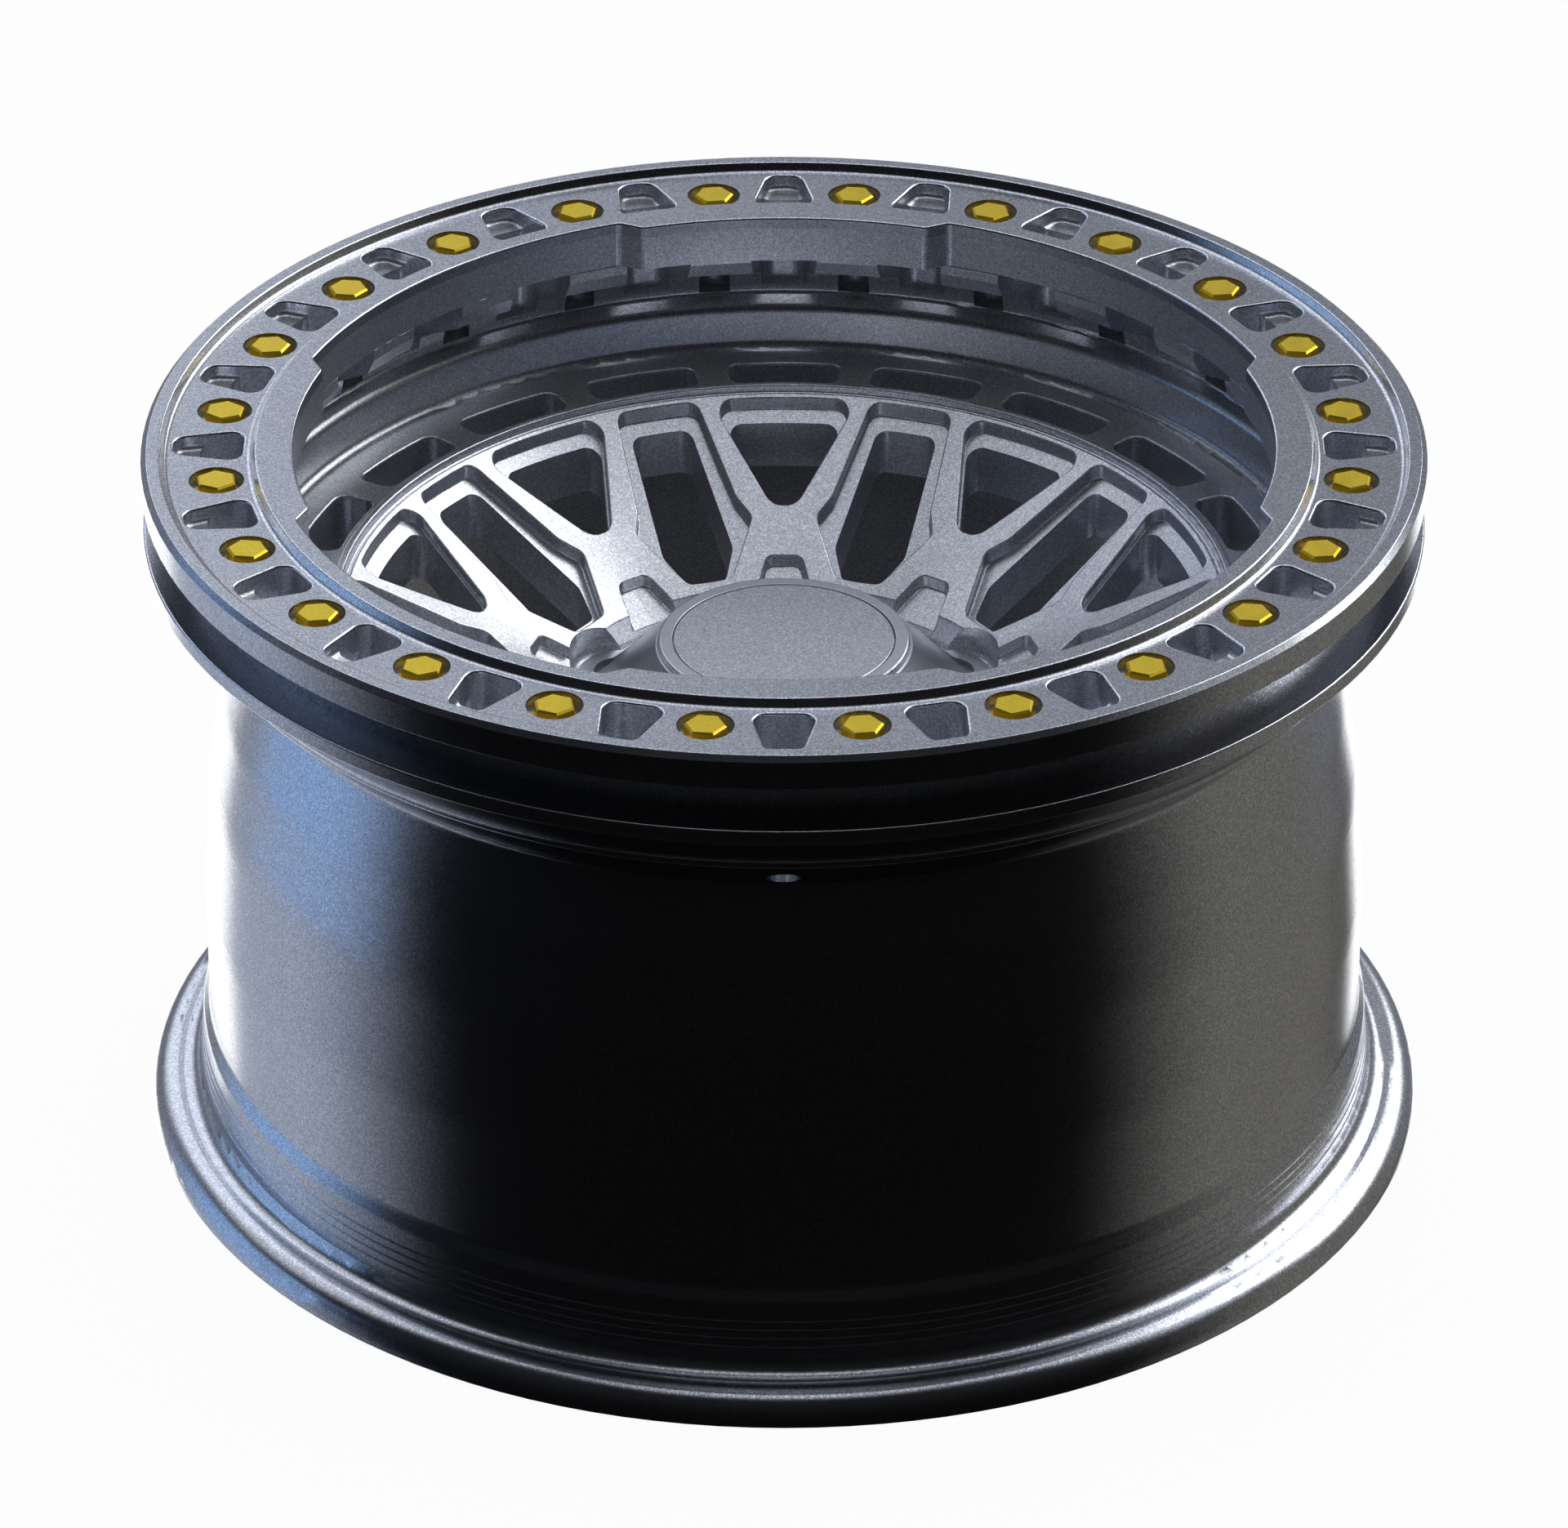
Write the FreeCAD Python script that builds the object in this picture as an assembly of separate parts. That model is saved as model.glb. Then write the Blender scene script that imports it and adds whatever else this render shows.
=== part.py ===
import FreeCAD, Part
import math
import os

V = FreeCAD.Vector
AXIS = V(0, 0, 1)

# All sizes are millimetres and degrees. The wheel lies on its inboard flange
# at z = 0, its axis is Z, the outboard face looks up. Azimuth 0 is +X.

# outboard zone of the wheel body
flange_radius = 231.7
flange_top = 241.5
flange_edge = 236.0
register_radius = 215.7
shelf_top = 252.5
shelf_inner_radius = 183.6
shelf_lip_z = 248.3
shelf_under_radius = 186.5
shelf_under_z = 242.2
well_top_radius = 203.0
well_top_z = 234.5
well_deep_radius = 204.7
well_deep_z = 225.5
well_neck_radius = 198.8
well_neck_z = 221.2
band_outer_radius = 195.6
gusset_foot_radius = 214.0
gusset_foot_z = 217.5

# barrel
drop_radius = 197.5
drop_top_z = 200.8
shoulder_radius = 205.3
shoulder_z = 172.7
barrel_mid_radius = 211.2
barrel_mid_z = 141.0
barrel_radius = 214.2
barrel_full_z = 92.0
seat_start_z = 44.5
seat_small_radius = 216.6
seat_small_z = 39.5
seat_root_radius = 218.9
root_round = 6.5
inboard_face_z = 12.0
lip_radius = 236.4
lip_round = 9.5
barrel_wall = 5.8
seat_groove_count = 4
seat_groove_first_z = 32.6
seat_groove_pitch = 3.4
seat_groove_half_width = 0.5
seat_groove_depth = 0.35

# face disc
cone_edge_radius = 163.0
cone_edge_z = 207.0
cone_slope = 0.577
band_z = 206.0
lip_outer_radius = 164.2
cove_outer_radius = 162.0
cove_inner_radius = 159.6
cove_depth = 1.6
disc_thickness = 23.5
recess_radius = 85.0
recess_floor_radius = 80.7
hub_floor_z = 151.5
hub_radius = 88.0
pad_z = 115.0
bore_radius = 53.05
bore_chamfer = 1.5
cap_bore_radius = 56.0
cap_bore_z = 142.0

# lug and valve holes
lug_count = 6
lug_circle_radius = 69.85
lug_first_azimuth = 30.0
lug_well_radius = 19.0
lug_bore_radius = 7.25
lug_seat_radius = 10.0
lug_seat_half_angle = 30.0
valve_azimuth = -90.0
valve_radius = 203.0
valve_z = 206.5
valve_hole_radius = 5.75
valve_tilt = 44.0

# windows of the face
window_outer_radius = 157.6
ledge_radius = 152.3
window_count = 10
triangle_azimuth = 90.0
slot_azimuth = 72.0
triangle_ledge_depth = 5.0
slot_ledge_depth = 5.6
ledge_side = 1.0
triangle_floor_round = 0.45
slot_floor_round = 0.8
pocket_floor_round = 1.3
edge_round = 0.7
hub_pocket_depth = 4.5

# pockets of the flat band
band_pocket_count = 20
band_pocket_inner_radius = 167.0
band_pocket_outer_radius = 182.0
band_pocket_half_angle = 6.85
band_pocket_round = 4.6
band_pocket_depth = 19.0
band_pocket_edge = 1.0

# beadlock ring
ring_radius = 231.7
ring_bottom_z = 252.5
ring_clamp_z = 257.9
ring_step_radius = 216.0
ring_face_z = 267.0
ring_lip_z = 270.34
ring_chamfer = 2.0
lip_wall_top_radius = 225.0
lip_wall_foot_radius = 223.4
channel_inner_radius = 192.5
inner_band_radius = 190.6
tab_radius = 177.0
relief_radius = 183.6
tab_half_angle = 17.2
tab_slope_angle = 2.6
tab_round = 3.5
ring_edge_round = 0.8
ring_foot_round = 1.9
ring_pocket_inner = 195.2
ring_pocket_outer = 220.3
ring_pocket_through = 211.0
ring_pocket_ledge = 5.8
ring_pocket_edge = 0.9

# notches of the body shelf, open to the inside
notch_back_radius = 208.5
notch_mouth_half = 11.65
notch_back_half = 7.8
notch_floor_z = 229.0

# fasteners
bolt_count = 24
bolt_first_azimuth = 7.5
bolt_circle_radius = 205.0
bolt_head_flats = 13.0
bolt_head_height = 5.3
bolt_head_chamfer = 0.7
bolt_top_z = 267.5
bolt_radius = 4.0
bolt_length = 26.0
thread_clearance = 0.05
ring_hole_clearance = 0.5
washer_radius = 8.5
washer_thickness = 1.6
washer_clearance = 0.2
counterbore_radius = 10.0
insert_radius = 6.0
insert_length = 13.5
insert_setback = 0.3
insert_clearance = 0.05
insert_hole_floor_z = 226.0

# centre cap
cap_top_z = 187.4
cap_rim_radius = 45.9
cap_rim_round = 0.9
cap_seat_radius = 40.8
cap_seat_inner_radius = 37.0
cap_seat_depth = 2.6
cap_seat_thickness = 2.4
cap_step_z = 185.0
cap_step_radius = 47.0
cap_skirt_top_radius = 47.6
cap_skirt_top_z = 184.3
cap_skirt_foot_radius = 77.2
cap_foot_thickness = 2.6
cap_wall = 2.6
cap_edge_radius = 78.3
cap_tab_radius = 15.4
cap_stud_hole_radius = 10.0
cap_spigot_clearance = 0.35
cap_spigot_wall = 2.6
cap_spigot_depth = 8.0
cap_disc_gap = 0.4
cap_disc_drop = 0.1
seal_radius = 1.2
seal_depth = 4.0
seal_squeeze_gap = 0.02


def polar(radius, azimuth, z=0.0):
    a = math.radians(azimuth)
    return V(radius * math.cos(a), radius * math.sin(a), z)


def turned(shape, azimuth):
    copy = shape.copy()
    copy.rotate(V(0, 0, 0), AXIS, azimuth)
    return copy


def cone_z(radius):
    return cone_edge_z - cone_slope * (cone_edge_radius - radius)


def rounded_wire(corners, place):
    """A closed wire through the corners (a, b, round), with arcs where round > 0."""
    count = len(corners)
    starts = []
    ends = []
    middles = []
    for i in range(count):
        a, b, size = corners[i]
        here = V(a, b, 0)
        before = V(corners[i - 1][0], corners[i - 1][1], 0) - here
        after = V(corners[(i + 1) % count][0], corners[(i + 1) % count][1], 0) - here
        before.normalize()
        after.normalize()
        half = before.getAngle(after) / 2
        if size <= 0 or abs(half - math.pi / 2) < 1e-6:
            starts.append(here)
            ends.append(here)
            middles.append(None)
            continue
        reach = size / math.tan(half)
        inward = (before + after).normalize()
        centre = here + inward * (size / math.sin(half))
        starts.append(here + before * reach)
        ends.append(here + after * reach)
        middles.append(centre - inward * size)
    edges = []
    for i in range(count):
        if middles[i] is not None:
            arc = Part.Arc(place(starts[i]), place(middles[i]), place(ends[i]))
            edges.append(arc.toShape())
        leave = ends[i]
        arrive = starts[(i + 1) % count]
        if (arrive - leave).Length > 1e-6:
            edges.append(Part.LineSegment(place(leave), place(arrive)).toShape())
    return Part.Wire(edges)


def in_section(point):
    return V(point.x, 0, point.y)


def in_plan(point):
    return V(point.y, point.x, 0)


def revolved(corners):
    face = Part.Face(rounded_wire(corners, in_section))
    return face.revolve(V(0, 0, 0), AXIS, 360)


def prism(corners, low, high):
    face = Part.Face(rounded_wire(corners, in_plan))
    face.translate(V(0, 0, low))
    return face.extrude(V(0, 0, high - low))


def mirrored(half):
    """A symmetrical plan outline from its +across half, outer end first."""
    return half + [(-a, b, size) for a, b, size in reversed(half)]


def above_cone(depth):
    """The space above the face cone sunk by depth."""
    inner, outer, top = 60.0, 175.0, 240.0
    return revolved([
        (inner, cone_z(inner) - depth, 0),
        (outer, cone_z(outer) - depth, 0),
        (outer, top, 0),
        (inner, top, 0)])


def rounded_where(shape, size, wanted):
    picked = [edge for edge in shape.Edges if wanted(edge)]
    return shape.makeFillet(size, picked)


def middle_of(edge):
    return edge.valueAt((edge.FirstParameter + edge.LastParameter) / 2)


def is_upright(edge):
    ends = [v.Point for v in edge.Vertexes]
    if len(ends) != 2:
        return False
    along = ends[1] - ends[0]
    return math.hypot(along.x, along.y) < 1e-4 and abs(along.z) > 0.5


def body_section():
    front = [
        (bore_radius, cap_bore_z, 0),
        (cap_bore_radius, cap_bore_z, 0),
        (cap_bore_radius, hub_floor_z - bore_chamfer, 0),
        (cap_bore_radius + bore_chamfer, hub_floor_z, 0),
        (recess_floor_radius, hub_floor_z, 3.0),
        (recess_radius, cone_z(recess_radius), 1.0),
        (cove_inner_radius, cone_z(cove_inner_radius), 0.5),
        (cove_inner_radius + 0.3, cone_edge_z - cove_depth - 1.6, 0.9),
        (cove_outer_radius - 0.5, cone_edge_z - cove_depth - 1.0, 0.9),
        (cove_outer_radius, cone_edge_z + 0.2, 0.7),
        (lip_outer_radius, cone_edge_z + 0.2, 0.8),
        (lip_outer_radius + 0.9, band_z, 0.7),
        (band_outer_radius, band_z, 4.0),
        (well_neck_radius, well_neck_z, 5.0),
        (well_deep_radius, well_deep_z, 2.2),
        (well_top_radius, well_top_z, 3.0),
        (shelf_under_radius, shelf_under_z, 0),
        (shelf_inner_radius, shelf_lip_z, 0),
        (shelf_inner_radius, shelf_top, 0.5)]
    outboard = [
        (register_radius, shelf_top, 0),
        (register_radius, flange_top, 0),
        (flange_radius, flange_top, 0.8),
        (flange_radius, flange_edge, 0.6),
        (gusset_foot_radius, gusset_foot_z + 1.5, 3.5),
        (gusset_foot_radius, gusset_foot_z - 1.0, 1.5)]
    barrel = [
        (drop_radius, drop_top_z, 4.0),
        (shoulder_radius, shoulder_z, 90.0),
        (barrel_mid_radius, barrel_mid_z, 90.0),
        (barrel_radius, barrel_full_z, 120.0),
        (barrel_radius, seat_start_z, 5.0),
        (seat_small_radius, seat_small_z, 4.0)]
    foot = [
        (seat_root_radius, inboard_face_z, root_round),
        (lip_radius, inboard_face_z, lip_round),
        (lip_radius, 0.0, 0.8)]
    inboard = [
        (barrel_radius - barrel_wall + 5.0, 0.0, 1.5),
        (barrel_radius - barrel_wall + 3.4, 14.0, 8.0),
        (barrel_radius - barrel_wall + 1.4, seat_start_z - 4.0, 12.0),
        (barrel_radius - barrel_wall, barrel_full_z, 60.0),
        (barrel_mid_radius - barrel_wall, barrel_mid_z, 40.0),
        (shoulder_radius - barrel_wall, shoulder_z - 4.0, 12.0),
        (drop_radius - barrel_wall, cone_z(160.0) - disc_thickness, 5.0),
        (160.0, cone_z(160.0) - disc_thickness, 14.0),
        (hub_radius, cone_z(hub_radius) - disc_thickness, 9.0),
        (hub_radius, pad_z, 1.2),
        (bore_radius, pad_z, 0)]
    return front + outboard + barrel + seat_grooves() + foot + inboard


def seat_grooves():
    """Fine grooves turned across the bead seat, from the barrel towards the flange."""
    slope = (seat_root_radius - seat_small_radius) / (seat_small_z - inboard_face_z)
    corners = []
    for i in range(seat_groove_count):
        z = seat_groove_first_z - i * seat_groove_pitch
        radius = seat_small_radius + slope * (seat_small_z - z)
        corners.append((radius - slope * seat_groove_half_width, z + seat_groove_half_width, 0))
        corners.append((radius - seat_groove_depth, z, 0))
        corners.append((radius + slope * seat_groove_half_width, z - seat_groove_half_width, 0))
    return corners


def triangle_tool():
    upper = mirrored([
        (36.4, 170.0, 0),
        (4.65, 116.7, 7.4)])
    lower = mirrored([
        (36.4 - ledge_side * 1.16, 170.0, 0),
        (4.65 - ledge_side * 0.56, 116.7 + ledge_side, 6.4)])
    return window_tool(upper, lower, triangle_ledge_depth, triangle_floor_round, 5.4, 5.0)


def slot_tool():
    upper = mirrored([
        (14.6, 170.0, 0),
        (19.2, 118.6, 8.0),
        (22.9, 109.8, 4.0),
        (8.6, 89.5, 4.0)])
    lower = mirrored([
        (11.1, 170.0, 0),
        (13.8, 104.5, 6.0),
        (7.4, 93.2, 3.5)])
    return window_tool(upper, lower, slot_ledge_depth, slot_floor_round, 4.6, 4.8)


def window_tool(upper, lower, depth, floor_round, upper_round, lower_round):
    """A stepped opening: a ledge sunk in the cone and a smaller way through."""
    low, high = 100.0, 235.0
    wide = prism(upper, low, high).common(Part.makeCylinder(window_outer_radius, 300))
    wide = rounded_where(wide, upper_round, outer_uprights(window_outer_radius))
    wide = wide.common(above_cone(depth))
    wide = rounded_where(wide, floor_round, floor_edges(depth))
    narrow = prism(lower, low, high).common(Part.makeCylinder(ledge_radius, 300))
    narrow = rounded_where(narrow, lower_round, outer_uprights(ledge_radius))
    return [wide, narrow]


def outer_uprights(radius):
    def wanted(edge):
        point = middle_of(edge)
        return is_upright(edge) and abs(math.hypot(point.x, point.y) - radius) < 0.01
    return wanted


def floor_edges(depth):
    def wanted(edge):
        for vertex in edge.Vertexes:
            point = vertex.Point
            if abs(point.z - cone_z(math.hypot(point.x, point.y)) + depth) > 0.02:
                return False
        return not is_upright(edge)
    return wanted


def hub_pocket_tool():
    outline = mirrored([
        (6.4, 96.8, 3.6),
        (8.9, 88.0, 3.0),
        (11.8, 74.0, 0)])
    tool = prism(outline, 120.0, 220.0).common(above_cone(hub_pocket_depth))
    return rounded_where(tool, pocket_floor_round, floor_edges(hub_pocket_depth))


def band_pocket_tool():
    half = math.radians(band_pocket_half_angle)
    corners = []
    for radius in (band_pocket_outer_radius, band_pocket_inner_radius):
        corners.append((radius * math.sin(half), radius * math.cos(half), 0))
    outline = mirrored([
        (corners[0][0] * 1.06, corners[0][1] * 1.06, 0),
        (corners[1][0] * 0.94, corners[1][1] * 0.94, 0)])
    ring = Part.makeCylinder(band_pocket_outer_radius, 60)
    ring = ring.cut(Part.makeCylinder(band_pocket_inner_radius, 60))
    ring.translate(V(0, 0, band_z - band_pocket_depth))
    tool = prism(outline, band_z - band_pocket_depth, band_z + 10).common(ring)
    return rounded_where(tool, band_pocket_round, is_upright)


def notch_tool():
    low, high = notch_floor_z, shelf_top + 5
    outline = mirrored([
        (notch_back_half, notch_back_radius, 5.5),
        (notch_mouth_half + 1.0, 182.0, 0),
        (notch_mouth_half + 1.0, 175.0, 0)])
    return prism(outline, low, high)


def lug_tool():
    place = V(lug_circle_radius, 0, 0)
    well = Part.makeCylinder(lug_well_radius, 80, place + V(0, 0, hub_floor_z))
    rim = [edge for edge in well.Edges if abs(middle_of(edge).z - hub_floor_z) < 0.01]
    well = well.makeFillet(2.6, rim)
    bore = Part.makeCylinder(lug_bore_radius, 80, place + V(0, 0, pad_z - 5))
    depth = (lug_seat_radius - lug_bore_radius) / math.tan(math.radians(lug_seat_half_angle))
    seat = Part.makeCone(lug_bore_radius, lug_seat_radius, depth,
                         place + V(0, 0, hub_floor_z - depth))
    return [well, bore, seat]


def valve_tool():
    tilt = math.radians(valve_tilt)
    out = V(math.cos(tilt), 0, -math.sin(tilt))
    start = V(valve_radius, 0, valve_z) - out * 16
    return Part.makeCylinder(valve_hole_radius, 32, start, out)


def wheel_body():
    body = revolved(body_section())
    tools = []
    for i in range(window_count):
        turn = i * 360.0 / window_count
        tools += [turned(t, triangle_azimuth + turn) for t in triangle_tool()]
        tools += [turned(t, slot_azimuth + turn) for t in slot_tool()]
        tools.append(turned(hub_pocket_tool(), triangle_azimuth + turn))
    for i in range(band_pocket_count):
        tools.append(turned(band_pocket_tool(), 90 + i * 360.0 / band_pocket_count))
    body = body.cut(tools)
    body = rounded_where(body, edge_round, on_cone_face)
    body = rounded_where(body, band_pocket_edge, on_band)
    holes = []
    for i in range(bolt_count):
        turn = i * 360.0 / bolt_count
        place = V(bolt_circle_radius, 0, insert_hole_floor_z)
        hole = Part.makeCylinder(insert_radius + insert_clearance, 60, place)
        holes.append(turned(hole, bolt_first_azimuth + turn))
        holes.append(turned(notch_tool(), turn))
    for i in range(lug_count):
        azimuth = lug_first_azimuth + i * 360.0 / lug_count
        holes += [turned(t, azimuth) for t in lug_tool()]
    holes.append(turned(valve_tool(), valve_azimuth))
    return body.cut(holes)


def on_cone_face(edge):
    point = middle_of(edge)
    radius = math.hypot(point.x, point.y)
    if not 86.5 < radius < 159.0 or not edge.Vertexes:
        return False
    if abs(point.z - cone_z(radius)) > 0.02:
        return False
    return math.hypot(edge.BoundBox.XLength, edge.BoundBox.YLength) < 60


def on_band(edge):
    point = middle_of(edge)
    radius = math.hypot(point.x, point.y)
    inside = 166.0 < radius < 184.0
    return inside and abs(point.z - band_z) < 0.01


def ring_section():
    return [
        (tab_radius, ring_bottom_z, 0),
        (ring_step_radius, ring_bottom_z, 0.6),
        (ring_step_radius, ring_clamp_z, 0.6),
        (ring_radius, ring_clamp_z, 0.5),
        (ring_radius, ring_lip_z - ring_chamfer, 0.4),
        (ring_radius - ring_chamfer, ring_lip_z, 0.4),
        (lip_wall_top_radius, ring_lip_z, 0.8),
        (lip_wall_foot_radius, ring_face_z, ring_foot_round),
        (channel_inner_radius, ring_face_z, ring_foot_round),
        (inner_band_radius, ring_lip_z, 0.8),
        (tab_radius, ring_lip_z, 0)]


def relief_tool():
    """The arc between two tabs of the ring, cut back to the relief radius."""
    first = tab_half_angle + tab_slope_angle
    last = 90 - first
    inner = tab_radius - 12
    spread = tab_slope_angle * 12 / (relief_radius - tab_radius)
    corners = [polar(relief_radius, first), polar(relief_radius, last),
               polar(inner, last + tab_slope_angle + spread),
               polar(inner, first - tab_slope_angle - spread)]
    outer = Part.Arc(corners[0], polar(relief_radius, 45), corners[1]).toShape()
    edges = [outer]
    for a, b in ((1, 2), (2, 3), (3, 0)):
        edges.append(Part.LineSegment(corners[a], corners[b]).toShape())
    face = Part.Face(Part.Wire(edges))
    face.translate(V(0, 0, ring_bottom_z - 5))
    return face.extrude(V(0, 0, 40))


def ring_pocket_tools():
    shallow = mirrored([
        (6.2, ring_pocket_outer, 5.5),
        (11.6, ring_pocket_inner, 5.0)])
    floor_z = ring_face_z - ring_pocket_ledge
    ledge = prism(shallow, floor_z, ring_face_z + 10)
    floor = [edge for edge in ledge.Edges if abs(middle_of(edge).z - floor_z) < 0.01]
    ledge = ledge.makeFillet(2.4, floor)
    slope = (11.6 - 6.2) / (ring_pocket_outer - ring_pocket_inner)
    half = 6.2 + slope * (ring_pocket_outer - ring_pocket_through)
    deep = mirrored([
        (half, ring_pocket_through, 3.0),
        (11.6, ring_pocket_inner, 5.0)])
    through = prism(deep, ring_bottom_z - 5, ring_face_z + 10)
    return ledge, through


def beadlock_ring():
    ring = revolved(ring_section())
    ring = ring.cut([turned(relief_tool(), i * 90.0) for i in range(4)])
    ring = rounded_where(ring, tab_round, on_tab_corner)
    ring = rounded_where(ring, ring_edge_round, on_ring_inner_rim)
    tools = []
    for i in range(bolt_count):
        turn = i * 360.0 / bolt_count
        tools += [turned(t, turn) for t in ring_pocket_tools()]
    ring = ring.cut(tools)
    ring = rounded_where(ring, ring_pocket_edge, on_ring_face)
    holes = []
    for i in range(bolt_count):
        turn = bolt_first_azimuth + i * 360.0 / bolt_count
        place = V(bolt_circle_radius, 0, washer_z())
        holes.append(turned(Part.makeCylinder(counterbore_radius, 30, place), turn))
        place = V(bolt_circle_radius, 0, ring_bottom_z - 5)
        hole = Part.makeCylinder(bolt_radius + ring_hole_clearance, 60, place)
        holes.append(turned(hole, turn))
    return ring.cut(holes)


def on_tab_corner(edge):
    point = middle_of(edge)
    turn = math.degrees(math.atan2(point.y, point.x)) % 90
    return is_upright(edge) and min(turn, 90 - turn) > 5 and point.Length < ring_radius * 1.4 \
        and math.hypot(point.x, point.y) < relief_radius + 0.1


def on_ring_inner_rim(edge):
    point = middle_of(edge)
    radius = math.hypot(point.x, point.y)
    return abs(point.z - ring_lip_z) < 0.01 and radius < relief_radius + 1.0


def on_ring_face(edge):
    point = middle_of(edge)
    radius = math.hypot(point.x, point.y)
    inside = channel_inner_radius + 2 < radius < lip_wall_foot_radius - 2
    return inside and abs(point.z - ring_face_z) < 0.01


def washer_z():
    return bolt_top_z - bolt_head_height - washer_thickness


def beadlock_bolt(azimuth):
    circumradius = bolt_head_flats / math.sqrt(3)
    points = [polar(circumradius, 30 + 60 * i) for i in range(7)]
    head = Part.Face(Part.makePolygon(points)).extrude(V(0, 0, bolt_head_height))
    rim = [e for e in head.Edges if middle_of(e).z > bolt_head_height - 0.01]
    head = head.makeChamfer(bolt_head_chamfer, rim)
    shank = Part.makeCylinder(bolt_radius - thread_clearance, bolt_length, V(0, 0, -bolt_length))
    shank = shank.makeChamfer(0.8, [e for e in shank.Edges if middle_of(e).z < 0.01 - bolt_length])
    bolt = head.fuse(shank)
    bolt.translate(V(bolt_circle_radius, 0, washer_z() + washer_thickness))
    return turned(bolt, azimuth)


def beadlock_washer(azimuth):
    place = V(bolt_circle_radius, 0, washer_z())
    washer = Part.makeCylinder(washer_radius, washer_thickness, place)
    rim = [e for e in washer.Edges if middle_of(e).z > washer_z() + washer_thickness - 0.01]
    washer = washer.makeChamfer(0.3, rim)
    washer = washer.cut(Part.makeCylinder(bolt_radius + washer_clearance, 10, place - V(0, 0, 2)))
    return turned(washer, azimuth)


def bolt_inserts():
    solids = []
    low = shelf_top - insert_setback - insert_length
    for i in range(bolt_count):
        place = V(bolt_circle_radius, 0, low)
        insert = Part.makeCylinder(insert_radius, insert_length, place)
        insert = insert.cut(Part.makeCylinder(bolt_radius, insert_length + 4, place - V(0, 0, 2)))
        solids.append(turned(insert, bolt_first_azimuth + i * 360.0 / bolt_count))
    return Part.makeCompound(solids)


def spigot_radius():
    return cap_bore_radius - cap_spigot_clearance


def cap_section():
    foot_z = hub_floor_z + cap_foot_thickness
    fall = (cap_skirt_top_z - foot_z) / (cap_skirt_foot_radius - cap_skirt_top_radius)
    seat_z = cap_top_z - cap_seat_depth
    inner_z = seat_z - cap_seat_thickness
    outer = spigot_radius()
    under = cap_skirt_top_z - fall * (outer - cap_skirt_top_radius) - cap_wall * 1.4
    tab_reach = lug_circle_radius + cap_tab_radius
    return [
        (cap_seat_inner_radius, inner_z, 0),
        (cap_seat_inner_radius, seat_z, 0.3),
        (cap_seat_radius, seat_z, 0),
        (cap_seat_radius, cap_top_z, 0.3),
        (cap_rim_radius, cap_top_z, cap_rim_round),
        (cap_rim_radius + 0.4, cap_step_z, 0.25),
        (cap_step_radius, cap_step_z, 0.3),
        (cap_skirt_top_radius, cap_skirt_top_z, 0),
        (cap_skirt_foot_radius, foot_z, 1.2),
        (tab_reach, foot_z, 0.4),
        (tab_reach, hub_floor_z, 0),
        (cap_skirt_foot_radius - 2.0, hub_floor_z, 1.0),
        (outer, under, 1.0),
        (outer, hub_floor_z - cap_spigot_depth, 0.5),
        (outer - cap_spigot_wall, hub_floor_z - cap_spigot_depth, 0.5),
        (outer - cap_spigot_wall, under + 0.6, 1.0),
        (cap_seat_radius + 2.0, inner_z, 1.0)]


def cap_plan_limit():
    """The upright outline that the skirt is trimmed to: a disc and one tab at each lug."""
    low = hub_floor_z - cap_spigot_depth - 5
    shape = Part.makeCylinder(cap_edge_radius, 80, V(0, 0, low))
    for i in range(lug_count):
        azimuth = lug_first_azimuth + i * 360.0 / lug_count
        shape = shape.fuse(Part.makeCylinder(cap_tab_radius, 80, polar(lug_circle_radius, azimuth, low)))
    return shape.removeSplitter()


def centre_cap():
    cap = revolved(cap_section()).common(cap_plan_limit())
    for i in range(lug_count):
        place = polar(lug_circle_radius, lug_first_azimuth + i * 360.0 / lug_count, 100)
        cap = cap.cut(Part.makeCylinder(cap_stud_hole_radius, 100, place))
    return cap.cut(Part.makeTorus(seal_centre_radius(), seal_radius, V(0, 0, seal_z())))


def seal_z():
    return hub_floor_z - seal_depth


def seal_centre_radius():
    return cap_bore_radius - seal_radius - seal_squeeze_gap


def cap_seal():
    return Part.makeTorus(seal_centre_radius(), seal_radius - seal_squeeze_gap, V(0, 0, seal_z()))


def cap_disc():
    thickness = cap_seat_depth - cap_disc_drop
    place = V(0, 0, cap_top_z - cap_seat_depth)
    disc = Part.makeCylinder(cap_seat_radius - cap_disc_gap, thickness, place)
    rim = [e for e in disc.Edges if middle_of(e).z > cap_top_z - cap_disc_drop - 0.01]
    return disc.makeFillet(0.4, rim)


def save(name, shape):
    if not shape.isValid():
        print("invalid shape:", name)
    solids = shape.Solids
    print(name, "solids", len(solids), "volume", round(shape.Volume / 1000.0, 2), "cm3")
    if len(solids) == 1:
        shape = solids[0]
    shape.exportStep("parts/" + name + ".step")


os.makedirs("parts", exist_ok=True)
save("wheel_body", wheel_body())
save("beadlock_ring", beadlock_ring())
for index in range(bolt_count):
    spot = bolt_first_azimuth + index * 360.0 / bolt_count
    save("beadlock_bolt_%02d" % (index + 1), beadlock_bolt(spot))
    save("beadlock_washer_%02d" % (index + 1), beadlock_washer(spot))
save("bolt_inserts", bolt_inserts())
save("centre_cap", centre_cap())
save("cap_disc", cap_disc())
save("cap_seal", cap_seal())
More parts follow.
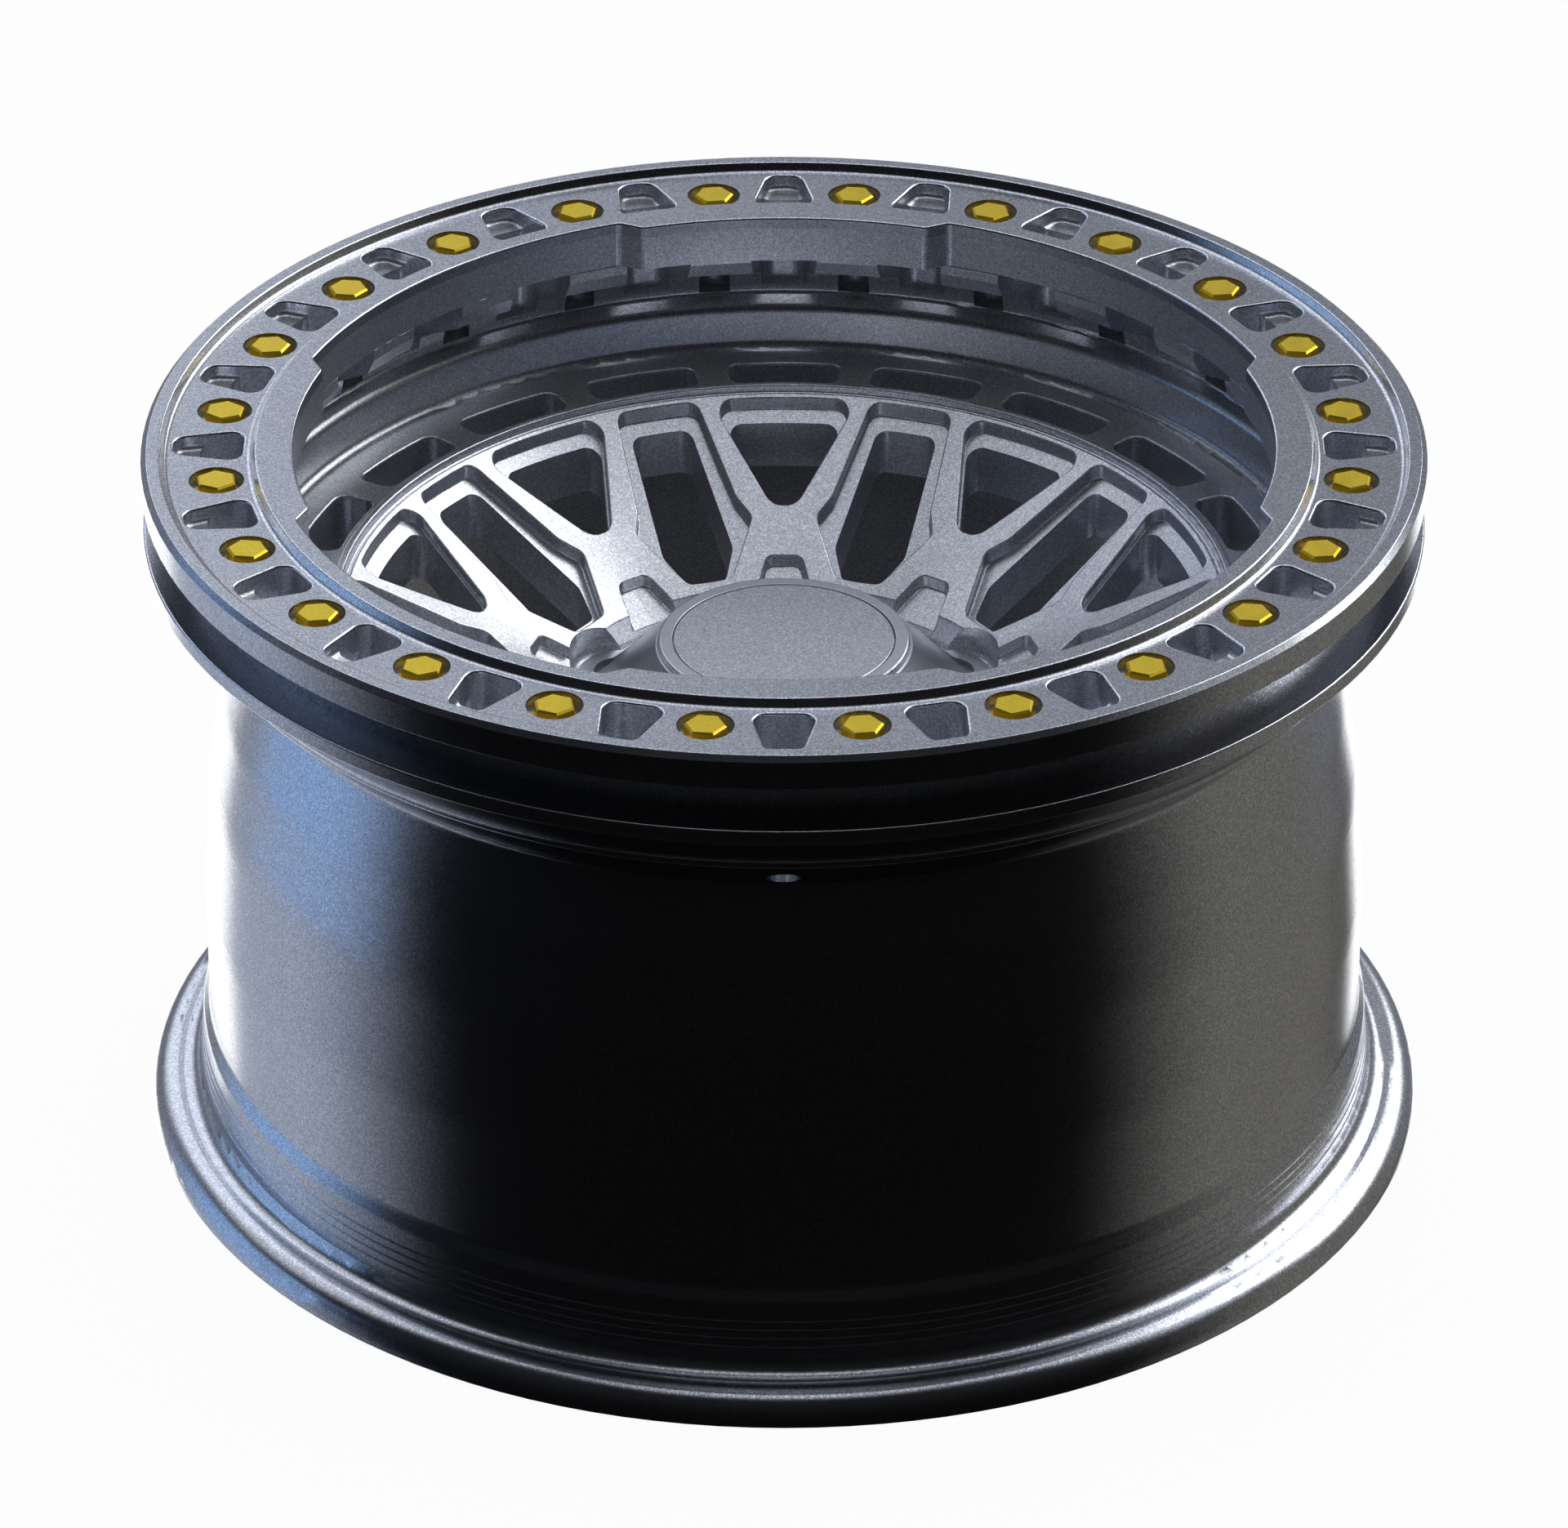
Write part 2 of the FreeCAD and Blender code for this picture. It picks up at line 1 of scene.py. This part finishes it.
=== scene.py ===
import math
import bpy
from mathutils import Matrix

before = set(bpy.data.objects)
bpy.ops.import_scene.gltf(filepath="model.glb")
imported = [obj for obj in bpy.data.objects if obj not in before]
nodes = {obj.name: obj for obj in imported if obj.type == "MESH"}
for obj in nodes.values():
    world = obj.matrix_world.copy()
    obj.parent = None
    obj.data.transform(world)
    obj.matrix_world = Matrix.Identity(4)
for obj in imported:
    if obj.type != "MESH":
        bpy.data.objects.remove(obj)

scene = bpy.context.scene
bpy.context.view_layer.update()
print("frame loaded:", len(nodes), "pieces")


# shader maths

class Wire:
    # one output socket, so that masks are written as plain sums and products

    def __init__(self, tree, socket):
        self.tree = tree
        self.socket = socket

    def maths(self, operation, first, second=None, third=None):
        node = self.tree.nodes.new("ShaderNodeMath")
        node.operation = operation
        for index, value in enumerate((first, second, third)):
            if value is None:
                continue
            if isinstance(value, Wire):
                self.tree.links.new(value.socket, node.inputs[index])
            else:
                node.inputs[index].default_value = value
        return Wire(self.tree, node.outputs[0])

    def __add__(self, other):
        return self.maths("ADD", self, other)

    def __radd__(self, other):
        return self.maths("ADD", other, self)

    def __sub__(self, other):
        return self.maths("SUBTRACT", self, other)

    def __rsub__(self, other):
        return self.maths("SUBTRACT", other, self)

    def __mul__(self, other):
        return self.maths("MULTIPLY", self, other)

    def __rmul__(self, other):
        return self.maths("MULTIPLY", other, self)

    def __truediv__(self, other):
        return self.maths("DIVIDE", self, other)

    def __pow__(self, other):
        return self.maths("POWER", self, other)

    def held(self, low=0.0, high=1.0):
        return self.maths("MINIMUM", self.maths("MAXIMUM", self, low), high)

    def window(self, half, edge):
        # 1 up to half less half the edge, 0 from half plus half the edge
        return self.step(half + edge / 2, half - edge / 2)

    def step(self, start, end):
        # 0 below start, 1 above end, smooth between; start may be the larger one
        share = ((self - start) * (1.0 / (end - start))).held()
        return share * share * (3.0 - 2.0 * share)


class Shader:
    # the node tree of one material or of the world

    def __init__(self, owner):
        owner.use_nodes = True
        self.tree = owner.node_tree
        self.tree.nodes.clear()

    def node(self, kind, settings=None, out=0, **sockets):
        made = self.tree.nodes.new("ShaderNode" + kind)
        for name, value in (settings or {}).items():
            if name == "stops":
                self.fillRamp(made.color_ramp, value)
            else:
                setattr(made, name, value)
        for name, value in sockets.items():
            key = int(name[1:]) if name[0] == "_" else name.replace("_", " ")
            target = made.inputs[key]
            if isinstance(value, Wire):
                self.tree.links.new(value.socket, target)
            else:
                target.default_value = value
        return Wire(self.tree, made.outputs[out])

    def fillRamp(self, ramp, stops):
        while len(ramp.elements) < len(stops):
            ramp.elements.new(0.5)
        for element, (place, colour) in zip(ramp.elements, stops):
            element.position = place
            element.color = (*colour, 1.0)

    def mixColour(self, share, first, second, blend="MIX"):
        made = self.tree.nodes.new("ShaderNodeMix")
        made.data_type = "RGBA"
        made.blend_type = blend
        for index, value in ((0, share), (6, first), (7, second)):
            if isinstance(value, Wire):
                self.tree.links.new(value.socket, made.inputs[index])
            else:
                made.inputs[index].default_value = value if index == 0 else (*value, 1.0)
        return Wire(self.tree, made.outputs[2])

    def finish(self, surface, kind="OutputMaterial"):
        made = self.tree.nodes.new("ShaderNode" + kind)
        self.tree.links.new(surface.socket, made.inputs["Surface"])


def paint(material, *names):
    for name in names:
        mesh = nodes[name].data
        mesh.materials.clear()
        mesh.materials.append(material)


# materials

speckledSilver = {
    "colour": (0.66, 0.68, 0.74),
    "flakeDark": (0.44, 0.455, 0.50),
    "flakeLight": (0.93, 0.95, 1.00),
    # painted shade: the darker base colour given to faces that point downwards
    "paintedUndersideShade": (0.20, 0.21, 0.23),
    "flakeSize": 0.00045,
    "roughness": 0.20,
    "recessRoughness": 0.10,
    "recessDiffuse": 0.09,
    "barrelInsideDiffuse": 0.16,
    "bump": 0.04,
}


def recessOf(shader, radius, top):
    # 1 on the milled faces below the given height and within the radius, 0 on the turned outside
    place = shader.node("TexCoord", out=3)
    x = shader.node("SeparateXYZ", out=0, Vector=place)
    y = shader.node("SeparateXYZ", out=1, Vector=place)
    z = shader.node("SeparateXYZ", out=2, Vector=place)
    away = (x * x + y * y).maths("SQRT", x * x + y * y)
    facing = shader.node("NewGeometry", out=3)
    outward = (x * shader.node("SeparateXYZ", out=0, Vector=facing)
               + y * shader.node("SeparateXYZ", out=1, Vector=facing)) / away
    turned = outward.step(0.1, 0.3) * away.step(0.165, 0.17)
    # 1 on faces pointing downwards, which get a painted shade as their base colour
    downFacingShadeMask = shader.node("SeparateXYZ", out=2, Vector=facing).step(-0.5, -0.8)
    recess = away.step(radius + 0.001, radius) * z.step(top, top - 0.0008)
    return recess, turned, downFacingShadeMask, z.step(0.175, 0.150)


def makeSpeckledSilver(name, look, radius, top, keepTurned):
    material = bpy.data.materials.new(name)
    shader = Shader(material)
    place = shader.node("TexCoord", out=3)
    flakes = shader.node("TexVoronoi", {"feature": "F1"}, out=1, Vector=place,
                         Scale=1.0 / look["flakeSize"])
    sparkle = shader.node("SeparateColor", out=0, Color=flakes)
    drift = shader.node("TexNoise", Vector=place, Scale=14.0, Detail=3.0, Roughness=0.5)
    colour = shader.mixColour(sparkle.step(0.0, 0.55), look["flakeDark"], look["colour"])
    colour = shader.mixColour(sparkle.step(0.72, 1.0), colour, look["flakeLight"])
    recess, turned, downFacingShadeMask, deep = recessOf(shader, radius, top)
    # painted shade: down-facing faces take the darker underside colour in place of the shade
    # they would lie in
    colour = shader.mixColour(downFacingShadeMask, colour, look["paintedUndersideShade"])
    if keepTurned:
        recess = recess * (1.0 - turned)
    rough = look["roughness"] + recess * look["recessRoughness"] + (drift - 0.5) * 0.05
    metal = 1.0 - recess * (look["recessDiffuse"] + deep * look["barrelInsideDiffuse"])
    grain = shader.node("Bump", Strength=look["bump"], Distance=0.0002, Height=sparkle)
    surface = shader.node("BsdfPrincipled", Base_Color=colour, Roughness=rough, Metallic=metal,
                          Normal=grain)
    shader.finish(surface)
    return material


smoothGrey = {
    "colour": (0.60, 0.625, 0.68),
    "roughness": 0.34,
}


def makeSmoothGrey(name, look):
    material = bpy.data.materials.new(name)
    shader = Shader(material)
    place = shader.node("TexCoord", out=3)
    drift = shader.node("TexNoise", Vector=place, Scale=30.0, Detail=4.0)
    fine = shader.node("TexNoise", Vector=place, Scale=900.0, Detail=2.0)
    rough = look["roughness"] + (drift - 0.5) * 0.06 + (fine - 0.5) * 0.05
    tint = [part * 0.9 for part in look["colour"]]
    colour = shader.mixColour(fine.step(0.35, 0.65), tint, look["colour"])
    surface = shader.node("BsdfPrincipled", Base_Color=colour, Roughness=rough, Metallic=1.0)
    shader.finish(surface)
    return material


goldPlate = {
    "colour": (1.00, 0.73, 0.055),
    "shade": (0.88, 0.63, 0.045),
    "roughness": 0.32,
}


def makeGoldPlate(name, look):
    material = bpy.data.materials.new(name)
    shader = Shader(material)
    place = shader.node("TexCoord", out=3)
    fine = shader.node("TexNoise", Vector=place, Scale=1400.0, Detail=2.0)
    cloud = shader.node("TexNoise", Vector=place, Scale=160.0, Detail=3.0)
    colour = shader.mixColour(fine.step(0.3, 0.7), look["shade"], look["colour"])
    rough = look["roughness"] + (cloud - 0.5) * 0.12
    surface = shader.node("BsdfPrincipled", Base_Color=colour, Roughness=rough, Metallic=0.96)
    shader.finish(surface)
    return material


def makePlain(name, colour, roughness, metallic):
    material = bpy.data.materials.new(name)
    shader = Shader(material)
    place = shader.node("TexCoord", out=3)
    fine = shader.node("TexNoise", Vector=place, Scale=1200.0, Detail=3.0)
    shade = [part * 0.7 for part in colour]
    mixed = shader.mixColour(fine.step(0.3, 0.7), shade, colour)
    rough = roughness + (fine - 0.5) * 0.1
    surface = shader.node("BsdfPrincipled", Base_Color=mixed, Roughness=rough, Metallic=metallic)
    shader.finish(surface)
    return material


forgedSilver = makeSpeckledSilver("forgedSilver", speckledSilver, 0.211, 0.253, True)
ringSilver = makeSpeckledSilver("ringSilver", speckledSilver, 0.2225, 0.2664, False)
capGrey = makeSmoothGrey("capGrey", smoothGrey)
goldZinc = makeGoldPlate("goldZinc", goldPlate)
plainSteel = makePlain("plainSteel", (0.42, 0.42, 0.43), 0.4, 1.0)
sealRubber = makePlain("sealRubber", (0.03, 0.03, 0.03), 0.7, 0.0)

paint(forgedSilver, "wheel_body", "cap_disc")
paint(ringSilver, "beadlock_ring")
paint(capGrey, "centre_cap")
paint(goldZinc, *[name for name in nodes if "bolt_" in name and "inserts" not in name],
      *[name for name in nodes if "washer" in name])
paint(plainSteel, "bolt_inserts")
paint(sealRubber, "cap_seal")
print("materials made")


# studio

studio = {
    "floorColour": (0.95, 0.95, 0.95),
    "floorReach": 12.0,
    "floorWhite": 0.95,
    "skyLight": (0.95, 0.97, 1.00),
    "leftLight": (0.62, 0.82, 1.25),
    "floorLight": (1.10, 1.08, 1.04),
    "frontLight": (0.14, 0.14, 0.14),
    "dark": (0.003, 0.003, 0.003),
}

# Soft panels that the metal reflects, later ones over earlier ones. Degrees: heading is measured
# from the back (+Y), positive to the right; rise is the height above the horizon.
panels = {
    "rightWall": {"heading": 68, "halfHeading": 34, "headingEdge": 36,
                  "rise": -12, "halfRise": 40, "riseEdge": 34, "colour": (0.17, 0.162, 0.144)},
    "leftWall": {"heading": -58, "halfHeading": 32, "headingEdge": 44,
                 "rise": -30, "halfRise": 32, "riseEdge": 20, "colour": (0.42, 0.46, 0.55)},
    "blueWindow": {"heading": -72, "halfHeading": 20, "headingEdge": 26,
                   "rise": 2, "halfRise": 22, "riseEdge": 14, "colour": (0.31, 0.47, 0.76)},
    "backWall": {"heading": 0, "halfHeading": 50, "headingEdge": 24,
                 "rise": 12, "halfRise": 34, "riseEdge": 14, "colour": (0.19, 0.20, 0.225)},
    "ceiling": {"heading": 10, "halfHeading": 84, "headingEdge": 34,
                "rise": 66, "halfRise": 30, "riseEdge": 20, "colour": (0.68, 0.71, 0.77)},
    "whiteWindow": {"heading": 46, "halfHeading": 26, "headingEdge": 12,
                    "rise": 37, "halfRise": 19, "riseEdge": 14, "colour": (3.0, 3.0, 3.0)},
    "coolWindow": {"heading": -22, "halfHeading": 16, "headingEdge": 18,
                   "rise": 36, "halfRise": 24, "riseEdge": 18, "colour": (1.05, 1.12, 1.26)},
    "backFloor": {"heading": -6, "halfHeading": 32, "headingEdge": 5,
                  "rise": -38, "halfRise": 17, "riseEdge": 8, "colour": (1.6, 1.6, 1.6)},
}


def makeWorld():
    world = bpy.data.worlds.new("studioWorld")
    scene.world = world
    shader = Shader(world)
    way = shader.node("TexCoord", out=0)
    x = shader.node("SeparateXYZ", out=0, Vector=way)
    y = shader.node("SeparateXYZ", out=1, Vector=way)
    z = shader.node("SeparateXYZ", out=2, Vector=way)
    heading = x.maths("ARCTAN2", x, y) * math.degrees(1)
    rise = z.maths("ARCSINE", z) * math.degrees(1)
    colour = shader.mixColour(0.0, studio["dark"], studio["dark"])
    for panel in panels.values():
        aside = (heading - panel["heading"]).maths("ABSOLUTE", heading - panel["heading"])
        above = (rise - panel["rise"]).maths("ABSOLUTE", rise - panel["rise"])
        across = aside.window(panel["halfHeading"], panel["headingEdge"])
        upright = above.window(panel["halfRise"], panel["riseEdge"])
        colour = shader.mixColour(across * upright, colour, panel["colour"])
    zenith = rise.step(66, 84)
    colour = shader.mixColour(zenith, colour, panels["ceiling"]["colour"])
    camera = shader.node("LightPath", out=0)
    glossy = shader.node("LightPath", out=3)
    soft = shader.mixColour(rise.step(-20, 25), studio["floorLight"], studio["skyLight"])
    soft = shader.mixColour(x.step(0.15, -0.6) * rise.step(62, 30), soft, studio["leftLight"])
    soft = shader.mixColour(y.step(0.1, -0.4) * rise.step(62, 30), soft, studio["frontLight"])
    seen = shader.mixColour(glossy, soft, colour)
    seen = shader.mixColour(camera, seen, (1.0, 1.0, 1.0))
    surface = shader.node("Background", Color=seen, Strength=1.0)
    shader.finish(surface, "OutputWorld")


def makeFloor():
    reach = studio["floorReach"]
    mesh = bpy.data.meshes.new("floor")
    corners = [(-reach, -reach, 0), (reach, -reach, 0), (reach, reach, 0), (-reach, reach, 0)]
    mesh.from_pydata(corners, [], [(0, 1, 2, 3)])
    floor = bpy.data.objects.new("floor", mesh)
    floor.location.z = -0.0004
    scene.collection.objects.link(floor)
    material = bpy.data.materials.new("floorPaper")
    shader = Shader(material)
    shaded = shader.node("BsdfDiffuse", Color=(*studio["floorColour"], 1.0))
    white = shader.node("Emission", Color=(1.0, 1.0, 1.0, 1.0), Strength=1.0)
    seen = shader.node("LightPath", out=0) * studio["floorWhite"]
    surface = shader.node("MixShader", _0=seen, _1=shaded, _2=white)
    shader.finish(surface)
    mesh.materials.append(material)
    floor.visible_glossy = False
    floor.visible_diffuse = False


view = {
    "place": (0.0, -2.7650, 1.7331),
    "tilt": 59.96,
    "lens": 199.05,
    "sensor": 36.0,
}


def makeCamera():
    data = bpy.data.cameras.new("camera")
    data.lens = view["lens"]
    data.sensor_width = view["sensor"]
    data.clip_end = 60.0
    camera = bpy.data.objects.new("camera", data)
    camera.location = view["place"]
    camera.rotation_euler = (math.radians(view["tilt"]), 0, 0)
    scene.collection.objects.link(camera)
    scene.camera = camera


makeWorld()
makeFloor()
makeCamera()
scene.view_settings.view_transform = "Standard"
print("studio made")
